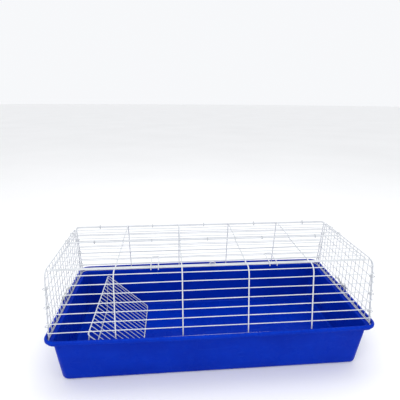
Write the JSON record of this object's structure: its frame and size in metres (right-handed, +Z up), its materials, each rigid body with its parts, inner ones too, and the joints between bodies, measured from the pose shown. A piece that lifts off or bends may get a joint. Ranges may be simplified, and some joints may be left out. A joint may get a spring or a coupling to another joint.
{
  "type": "wire rabbit cage",
  "caption": "Rabbit cage: moulded plastic tray, lift-off welded wire top with a hinged lid, plastic side clips and a slanted wire hay rack.",
  "frame": {"origin": "centre of the tray's underside", "axes": "+X along the length, +Y towards the back, +Z up"},
  "size_m": [1.0152, 0.4778, 0.3621],
  "materials": {
    "tray": "moulded blue plastic, satin gloss",
    "cage_wire": "white powder-coated wire",
    "ring_wire": "pale coated wire rings",
    "clip": "off-white translucent plastic",
    "rack_wire": "white powder-coated wire"
  },
  "bodies": {
    "tray": {"tray": "tray"},
    "wire_top": {"base_frame": "cage_wire", "front_panel": "cage_wire", "back_panel": "cage_wire", "left_panel": "cage_wire", "right_panel": "cage_wire", "roof_panel": "cage_wire", "hinge_rings": "ring_wire", "back_rings": "ring_wire", "left_end_rings": "ring_wire", "right_end_rings": "ring_wire", "front_left_rings": "ring_wire", "front_right_rings": "ring_wire", "back_left_rings": "ring_wire", "back_right_rings": "ring_wire"},
    "lid": {"lid_panel": "cage_wire", "lid_hooks": "cage_wire", "pull_ring": "ring_wire"},
    "left_clip": {"left_clip": "clip"},
    "right_clip": {"right_clip": "clip"},
    "hay_rack": {"rack_frame": "rack_wire", "rack_slats": "rack_wire", "rack_leg": "rack_wire"}
  },
  "joints": [
    {"name": "top_lift", "type": "slide", "parent": "tray", "child": "wire_top", "axis": [0, 0, 1], "range_m": [0, 0.25]},
    {"name": "lid_hinge", "type": "hinge", "parent": "wire_top", "child": "lid", "pos_m": [0, 0.036, 0.354], "axis": [-1, 0, 0], "range_deg": [0, 130]},
    {"name": "left_clip_hinge", "type": "hinge", "parent": "wire_top", "child": "left_clip", "pos_m": [-0.49, 0, 0.1873], "axis": [0, 1, 0], "range_deg": [0, 80]},
    {"name": "right_clip_hinge", "type": "hinge", "parent": "wire_top", "child": "right_clip", "pos_m": [0.49, 0, 0.1873], "axis": [0, -1, 0], "range_deg": [0, 80]},
    {"name": "rack_lift", "type": "slide", "parent": "tray", "child": "hay_rack", "axis": [0, 0, 1], "range_m": [0, 0.15]}
  ]
}
